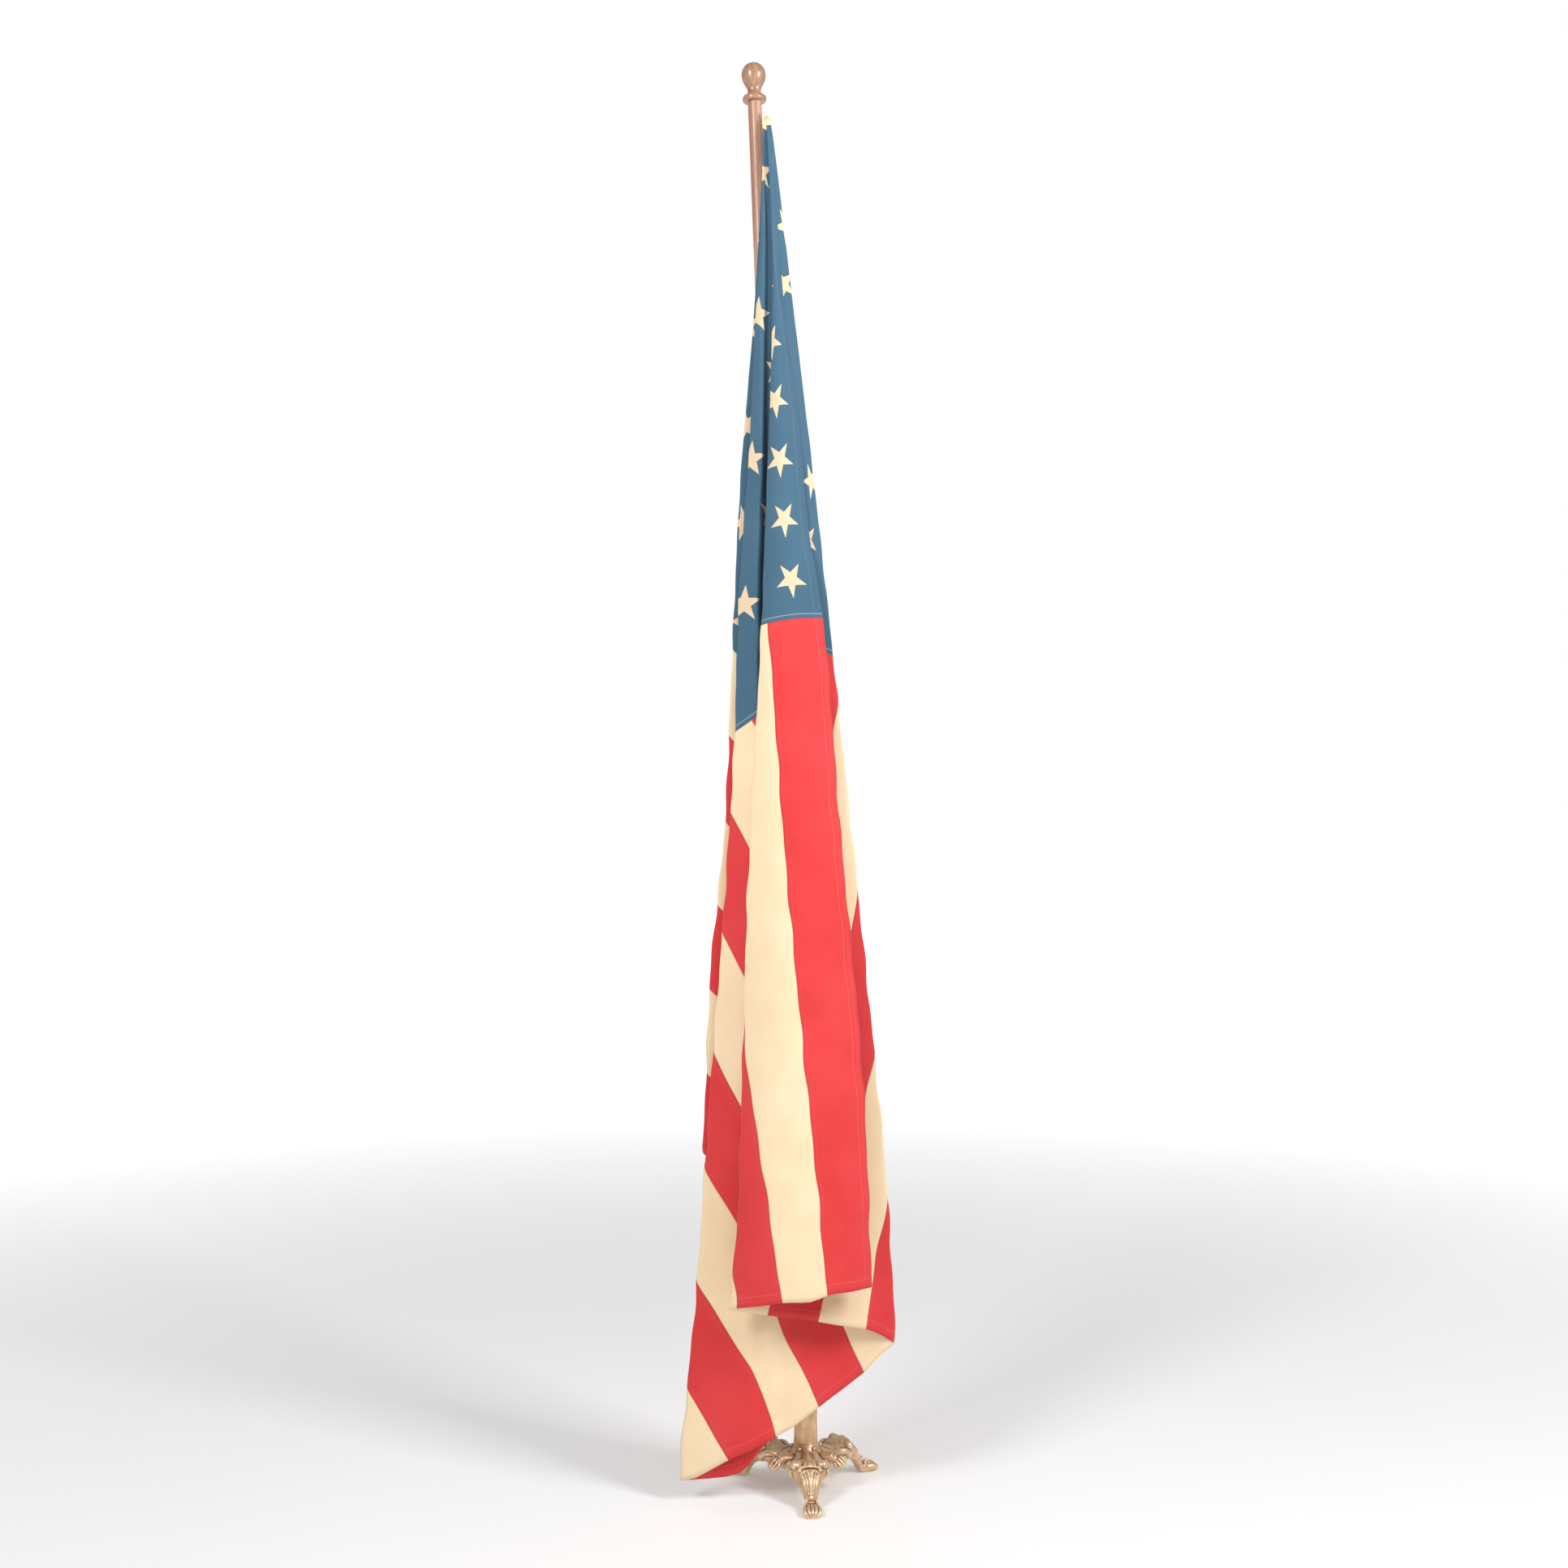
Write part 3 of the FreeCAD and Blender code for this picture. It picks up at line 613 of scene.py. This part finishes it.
def leg_relief(s, lateral, half_width, facing):
    """Height of the cast ornament on a leg's outer face, in metres."""
    mm = lateral * 1000
    side = np.abs(mm)
    arc = np.interp(s, range(len(LEG_ARCS)), LEG_ARCS)
    height = np.zeros_like(mm)
    rib = np.interp(s, (5.6, 6.9), (5.6, 2.7))
    height += 1.7 * soft_step(side, rib, 1.5) * soft_step(-s, -5.62, 0.2) * soft_step(s, 9.0, 0.3)
    edge = np.interp(s, (5.4, 6.3, 7.5, 9.0), (12.0, 9.3, 6.6, 5.0))
    shield = soft_step(-s, -5.25, 0.2) * soft_step(s, 9.0, 0.3)
    height += shield * (0.7 * soft_step(side, edge, 1.0) + 1.0 * np.exp(-((side - edge + 0.8) / 0.8) ** 2))
    height += 1.3 * soft_step(side, 12.5, 1.4) * soft_step(np.abs(s - 5.42), 0.20, 0.14)
    height -= 1.4 * np.exp(-((s - 5.08) / 0.09) ** 2) * soft_step(side, 17, 4)
    leaf_top, leaf_foot = 3.35, 4.98
    along = np.clip((s - leaf_top) / (leaf_foot - leaf_top), 0, 1)
    leaf_half = 0.5 + 11.0 * np.sin(np.clip(along * 1.9, 0, math.pi / 2)) ** 0.8
    leaf = soft_step(side, leaf_half, 1.8) * (s > leaf_top) * soft_step(s, leaf_foot, 0.12)
    veins = np.cos(mm / leaf_half * 2.5 * math.pi) * 0.5
    height += leaf * (2.6 * (1 - 0.35 * (side / leaf_half) ** 2) + veins)
    bead = np.hypot(arc - 150.5, mm)
    height += 3.2 * np.sqrt(np.clip(1 - (bead / 4.8) ** 2, 0, 1)) + 1.0 * np.exp(-((bead - 6.6) / 0.8) ** 2)
    for centre_arc, centre_side, radius in ((96, 17, 5.5), (86, 21, 6.0), (75, 15, 5.0), (105, 15, 3.6)):
        d = np.hypot(arc - centre_arc, side - centre_side)
        height += 2.2 * np.sqrt(np.clip(1 - (d / radius) ** 2, 0, 1))
        height -= 0.7 * np.exp(-((d - radius * 0.5) / 0.8) ** 2)
    height += 1.2 * np.exp(-((s - 10.7) / 0.22) ** 2)
    height -= 0.9 * np.exp(-((s - 11.15) / 0.14) ** 2)
    toes = soft_step(-s, -11.4, 0.6)
    for groove in (-0.62, -0.2, 0.2, 0.62):
        height -= 1.9 * toes * np.exp(-((mm / (half_width * 1000) - groove) / 0.065) ** 2)
    return height * np.clip(facing * 2.5, 0, 1) / 1000


def along_tube(count, at, millimetres):
    """A tube's radii at evenly spaced points, from a few radii at shares of its length."""
    return np.interp(np.linspace(0, 1, count), at, millimetres) / 1000


def tube_shell(path, radii, around=28, squash=1.0, up=(0, 0, 1), ribs=0, rib_depth=0.0):
    """A closed shell round a path of points, with its own radius at each point."""
    path = np.array(path, float)
    tangent = np.gradient(path, axis=0)
    tangent /= np.linalg.norm(tangent, axis=1)[:, None]
    side = np.cross(tangent, np.array(up, float))
    side /= np.maximum(np.linalg.norm(side, axis=1), 1e-6)[:, None]
    over = np.cross(side, tangent)
    turn = np.arange(around) * 2 * math.pi / around
    points = []
    for p, a, b, r in zip(path, side, over, radii):
        ribbed = rib_depth * (0.5 + 0.5 * np.cos(turn * ribs)) ** 2
        for t, radius in zip(turn, r * (1 - ribbed)):
            points.append(tuple(p + radius * (math.cos(t) * a + squash * math.sin(t) * b)))
    count = len(path)
    faces = grid_faces(count, around, closed=True)
    points += [tuple(path[0]), tuple(path[-1])]
    first, last = len(points) - 2, len(points) - 1
    for i in range(around):
        j = (i + 1) % around
        faces.append((first, j, i))
        faces.append((last, (count - 1) * around + i, (count - 1) * around + j))
    return points, faces


def smooth_path(points, count):
    """Evenly spaced points on a smooth curve through the given ones."""
    points = np.array(points, float)
    return curve_through(points, np.linspace(0, len(points) - 1.0001, count))


def leg_shells():
    """The closed shells that make one leg, along +X, before they are merged."""
    rows, around = 260, 150
    at = np.linspace(0, len(LEG_SECTIONS) - 1.0001, rows)
    sections = curve_through(LEG_SECTIONS, at)
    turn = np.arange(around) * 2 * math.pi / around
    power = 2 / 2.7
    across = np.sign(np.sin(turn)) * np.abs(np.sin(turn)) ** power
    along = np.sign(np.cos(turn)) * np.abs(np.cos(turn)) ** power
    outer = sections[:, 0:2]
    inner = sections[:, 2:4]
    middle, half = (outer + inner) / 2, (outer - inner) / 2
    crown = 1 + 0.12 * np.cos(across * math.pi / 2)[None, :] * (along > 0)[None, :] - 0.10
    x = middle[:, :1] + half[:, :1] * along * crown
    z = middle[:, 1:] + half[:, 1:] * along * crown
    y = sections[:, 4:] * across
    points = np.stack([x, y, z], -1)
    down = np.gradient(points, axis=0)
    around_it = np.roll(points, -1, 1) - np.roll(points, 1, 1)
    normal = np.cross(around_it, down)
    normal /= np.maximum(np.linalg.norm(normal, axis=2), 1e-9)[..., None]
    outward = points - np.stack([middle[:, :1] + 0 * y, 0 * y, middle[:, 1:] + 0 * y], -1)
    normal *= np.sign((normal * outward).sum(-1))[..., None]
    relief = leg_relief(at[:, None] + 0 * y, y, sections[:, 4:] + 0 * y, np.broadcast_to(along, y.shape))
    points = points + normal * relief[..., None]
    points[..., 2] = np.maximum(points[..., 2], 0.0004)
    faces = grid_faces(rows, around, closed=True)
    flat = [tuple(p) for p in points.reshape(-1, 3)]
    flat += [tuple(points[0].mean(0)), tuple(points[-1].mean(0))]
    for i in range(around):
        j = (i + 1) % around
        faces.append((rows * around, j, i))
        faces.append((rows * around + 1, (rows - 1) * around + i, (rows - 1) * around + j))
    shells = [(flat, faces)]
    for hand in (-1, 1):
        ear = smooth_path([(0.048, hand * 0.024, 0.057), (0.058, hand * 0.029, 0.0600),
                           (0.068, hand * 0.0315, 0.0585), (0.076, hand * 0.0315, 0.0520),
                           (0.079, hand * 0.030, 0.0450)], 50)
        shells.append(tube_shell(ear, along_tube(50, (0, 0.35, 0.75, 1), (5.0, 6.2, 6.4, 3.4))))
        steps = np.linspace(16, 33.5, 30)
        knob = [(0.079, hand * step / 1000, 0.0655) for step in steps]
        round_end = 8.7 * np.sqrt(np.clip(1 - ((steps - 24) / 9.8) ** 2, 0.01, 1))
        dent = 1.2 * np.exp(-((steps - 23.5) / 1.0) ** 2)
        shells.append(tube_shell(knob, (np.where(steps < 24, 8.7, round_end) - dent) / 1000))
        toe_curl = smooth_path([(0.131, hand * 0.010, 0.014), (0.129, hand * 0.010, 0.021),
                                (0.133, hand * 0.010, 0.0245), (0.137, hand * 0.010, 0.021)], 24)
        shells.append(tube_shell(toe_curl, np.linspace(2.8, 2.2, 24) / 1000))
    return shells


def hub_shells():
    """The closed shells of the hub: its bell, its ridges and beads, and the three hanging scrolls."""
    profile = smooth_path([(0.0175, 0, 0.0815), (0.0215, 0, 0.0815), (0.0245, 0, 0.076), (0.031, 0, 0.0695),
                           (0.041, 0, 0.0645), (0.050, 0, 0.0615), (0.056, 0, 0.058), (0.0575, 0, 0.051),
                           (0.054, 0, 0.042), (0.047, 0, 0.0395), (0.043, 0, 0.046), (0.034, 0, 0.053),
                           (0.0175, 0, 0.056)], 90)
    around = 240
    turn = np.arange(around) * 2 * math.pi / around
    to_leg = np.cos(3 * (turn - math.radians(34)))
    points = []
    for r, _, z in profile:
        share = np.clip((r - 0.024) / 0.030, 0, 1)
        scallop = share * (0.0045 * to_leg - 0.0035)
        ridge = share * (1 - share) * 4 * 0.0016 * np.cos(12 * (turn - math.radians(34)))
        lift = share * 0.0035 * to_leg
        points += [((r + scallop[i]) * math.cos(t), (r + scallop[i]) * math.sin(t), z + ridge[i] + lift[i])
                   for i, t in enumerate(turn)]
    faces = grid_faces(len(profile), around, closed=True)
    last = (len(profile) - 1) * around
    for i in range(around):
        faces.append((i, (i + 1) % around, last + (i + 1) % around, last + i))
    shells = [(points, faces)]
    for degrees in DROP_DEGREES:
        out = np.array([math.cos(math.radians(degrees)), math.sin(math.radians(degrees)), 0])
        side = np.array([-out[1], out[0], 0])

        def place(r, across, z):
            return tuple((out * r + side * across) / 1000 + np.array([0, 0, z / 1000]))

        arm = smooth_path([place(36, 0, 58), place(46, 0, 61), place(54, 0, 62.5), place(61, 0, 60.5),
                           place(65, 0, 57)], 40)
        shells.append(tube_shell(arm, along_tube(40, (0, 0.5, 1), (14.5, 11.5, 10.5)), squash=0.66))
        for share, radius in ((0.55, 12.8), (0.74, 12.2)):
            centre = arm[int(share * 39)]
            ahead = arm[min(int(share * 39) + 1, 39)] - centre
            ahead /= np.linalg.norm(ahead)
            ring = [centre + ahead * d for d in np.linspace(-0.0016, 0.0016, 9)]
            radii = radius / 1000 * np.sqrt(1 - np.linspace(-0.9, 0.9, 9) ** 2 * 0.6)
            shells.append(tube_shell(ring, radii, squash=0.70))
        axis = np.array(place(1000, 0, -800))
        axis /= np.linalg.norm(axis)
        start = np.array(place(58.5, 0, 61.5))
        steps = np.sin(np.linspace(-math.pi / 2, math.pi / 2, 34)) * 0.5 + 0.5
        knob = [start + axis * 0.0255 * t for t in steps]
        radii = 0.0136 * np.sqrt(np.maximum(1 - (2 * steps - 1.06) ** 2, 0.0004))
        shells.append(tube_shell(knob, radii, around=96, ribs=11, rib_depth=0.16))
        for hand in (-1, 1):
            rim = smooth_path([place(40, hand * 12, 57.5), place(48, hand * 16, 56.5),
                               place(54, hand * 19, 52.5), place(54, hand * 21, 47),
                               place(48, hand * 22, 44)], 48)
            shells.append(tube_shell(rim, along_tube(48, (0, 0.4, 1), (2.6, 3.8, 2.8))))
    for degrees in LEG_DEGREES.values():
        for turned in (-30, 30):
            a = math.radians(degrees + turned)
            rise = np.linspace(-0.0032, 0.0032, 13)
            bead = [np.array([0.0265 * math.cos(a), 0.0265 * math.sin(a), 0.0755 + h]) for h in rise]
            radii = 0.0034 * np.sqrt(1 - np.linspace(-0.98, 0.98, 13) ** 2)
            shells.append(tube_shell(bead, radii, around=20, up=(1, 0, 0)))
    return shells


def merged(name, shells, material):
    """The shells melted into one closed casting, with a value for how far each point stands proud, which the
    paint turns into grime and painted shade in hollows and rubbed wear and painted highlight on high spots.
    """
    points, faces = [], []
    for shell_points, shell_faces in shells:
        start = len(points)
        points += shell_points
        faces += [tuple(i + start for i in f) for f in shell_faces]
    rough = mesh_object(name + "_rough", points, faces, material)
    remesh = rough.modifiers.new("merge", "REMESH")
    remesh.mode = "VOXEL"
    remesh.voxel_size = CASTING_VOXEL
    soften = rough.modifiers.new("soften", "SMOOTH")
    soften.factor, soften.iterations = 0.5, 2
    bpy.context.view_layer.update()
    evaluated = rough.evaluated_get(bpy.context.evaluated_depsgraph_get())
    mesh = bpy.data.meshes.new_from_object(evaluated)
    bpy.data.objects.remove(rough)
    mesh.name = name
    mesh.materials.clear()
    mesh.materials.append(material)
    mesh.polygons.foreach_set("use_smooth", [True] * len(mesh.polygons))
    count = len(mesh.vertices)
    place = np.zeros(count * 3)
    mesh.vertices.foreach_get("co", place)
    place = place.reshape(-1, 3)
    normal = np.zeros(count * 3)
    mesh.vertex_normals.foreach_get("vector", normal)
    normal = normal.reshape(-1, 3)
    edges = np.zeros(len(mesh.edges) * 2, int)
    mesh.edges.foreach_get("vertices", edges)
    edges = edges.reshape(-1, 2)
    degree = np.bincount(edges.ravel(), minlength=count)[:, None]
    melted = place.copy()
    for _ in range(14):
        total = np.zeros_like(melted)
        for axis in range(3):
            total[:, axis] = (np.bincount(edges[:, 0], melted[edges[:, 1], axis], count)
                              + np.bincount(edges[:, 1], melted[edges[:, 0], axis], count))
        melted = total / np.maximum(degree, 1)
    proud = ((place - melted) * normal).sum(1)
    attribute = mesh.attributes.new("wear_and_shade", "FLOAT", "POINT")
    attribute.data.foreach_set("value", np.clip(0.5 + proud / 0.0011, 0, 1).astype(np.float32))
    return mesh


def add_casting(name, mesh, degrees, node):
    """A casting at its place round the column, standing for its CAD node."""
    piece = bpy.data.objects.new(name, mesh.copy())
    turn = Matrix.Translation((COLUMN_X, COLUMN_Y, 0)) @ Matrix.Rotation(math.radians(degrees), 4, "Z")
    piece.data.transform(turn)
    bpy.context.scene.collection.objects.link(piece)
    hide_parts(node)
    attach(piece, "stand")


# ---- Build ----
add_camera()
add_world()
add_light("left_softbox", (-1.6, -2.2, 2.9), (0.9, 1.4), 54, target=(0, 0, 2.1))
add_light("right_softbox", (2.3, -1.7, 2.7), (0.9, 1.4), 76, target=(0, 0, 1.9))

# The floor gives off a little light of its own, more with distance, and stays pale.
floor_mesh = bpy.data.meshes.new("floor")
floor_mesh.from_pydata([(-30, -30, 0), (30, -30, 0), (30, 30, 0), (-30, 30, 0)], [], [(0, 1, 2, 3)])
floor = bpy.data.objects.new("floor", floor_mesh)
bpy.context.scene.collection.objects.link(floor)
pale = Shader("pale_floor", Roughness=0.9, Specular_IOR_Level=0.1)
pale.colour(pale.mix(pale.noise(pale.node("TexCoord", 3), 3.0), (0.90, 0.90, 0.90), (0.92, 0.92, 0.92)))
away = pale.node("VectorMath", 1)
away.node.operation = "LENGTH"
pale.put(away.node.inputs[0], pale.node("TexCoord", 3))
pale.put(pale.bsdf.inputs["Emission Color"], (1.0, 1.0, 1.0))
glow = pale.math("MULTIPLY_ADD", pale.smooth(away, 0.9, 6.0), 0.67, 0.13)
pale.put(pale.bsdf.inputs["Emission Strength"], glow)
floor_mesh.materials.append(pale.material)

finishes = {
    "gold_paint_casting": gold_paint("gold_casting", True),
    "gold_paint_column": gold_paint("gold_column", False),
    "plain_steel": metal_material("steel", (0.42, 0.41, 0.40), (0.60, 0.59, 0.57), 0.3),
    "brass": metal_material("brass", (0.62, 0.42, 0.16), (0.80, 0.60, 0.28), 0.2),
    "pole_wood": wood_material("pole_wood", (0.31, 0.150, 0.092), (0.58, 0.35, 0.245), 0.36, 0.3),
    "finial_wood": wood_material("finial_wood", (0.25, 0.115, 0.06), (0.45, 0.24, 0.145), 0.24, 0.7),
    "heading_canvas": canvas_material(),
}
for part in frame["record"]["subparts"]:
    node = nodes[part["node"]]
    if part["material_slot"] in finishes:
        node.data.materials.clear()
        node.data.materials.append(finishes[part["material_slot"]])

casting_paint = finishes["gold_paint_casting"]
leg_mesh = merged("cast_leg", leg_shells(), casting_paint)
for leg_name, leg_degrees in LEG_DEGREES.items():
    add_casting("cast_" + leg_name, leg_mesh, leg_degrees, leg_name)
add_casting("cast_hub", merged("cast_hub", hub_shells(), casting_paint), 0, "hub_casting")
add_heading(finishes["heading_canvas"])
add_flag(flag_material())
